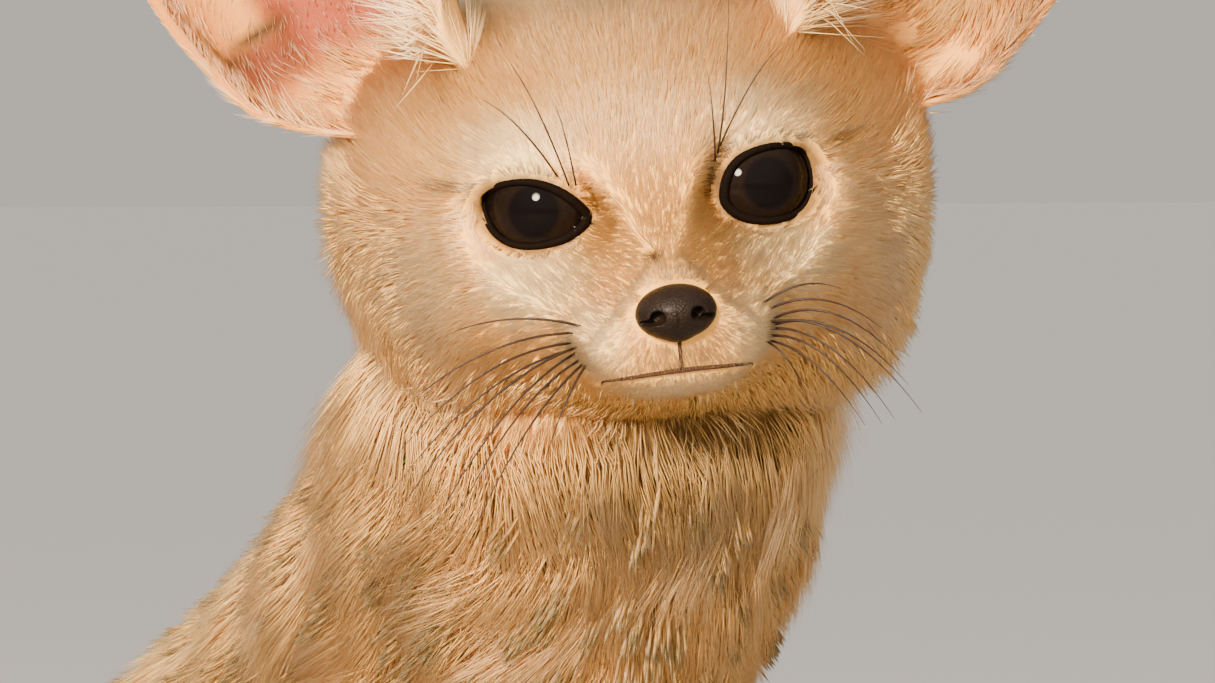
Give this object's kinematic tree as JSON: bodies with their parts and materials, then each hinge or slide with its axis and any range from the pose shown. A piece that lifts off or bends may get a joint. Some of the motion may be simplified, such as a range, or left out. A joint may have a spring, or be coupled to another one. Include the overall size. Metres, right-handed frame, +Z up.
{
  "type": "fennec fox",
  "caption": "Life-size still model of a sitting fennec fox, upright on its forepaws with its head turned to its right and its bushy tail curled round its left side.",
  "frame": {"origin": "middle of the footprint, at the floor", "axes": "+Z up; the body faces -Y, and the fox's left side is +X; the head is turned towards its right"},
  "size_m": [0.2203, 0.2851, 0.3322],
  "materials": {
    "sandy_coat": "soft dense fur, sandy with darker hair tips",
    "pale_coat": "short cream fur",
    "dark_coat": "brown-black fur",
    "nose_skin": "moist bare skin",
    "eye": "wet gloss"
  },
  "bodies": {
    "root": {"head": "sandy_coat", "nose": "nose_skin", "eye_left": "eye", "eye_right": "eye", "ear_left": "sandy_coat", "ear_right": "sandy_coat", "neck": "sandy_coat", "torso": "sandy_coat", "foreleg_left": "pale_coat", "foreleg_right": "pale_coat", "forepaw_left": "pale_coat", "forepaw_right": "pale_coat", "thigh_left": "sandy_coat", "thigh_right": "sandy_coat", "hind_foot_left": "pale_coat", "hind_foot_right": "pale_coat", "tail_base": "sandy_coat", "tail_middle": "sandy_coat", "tail_tip": "dark_coat"}
  },
  "joints": []
}
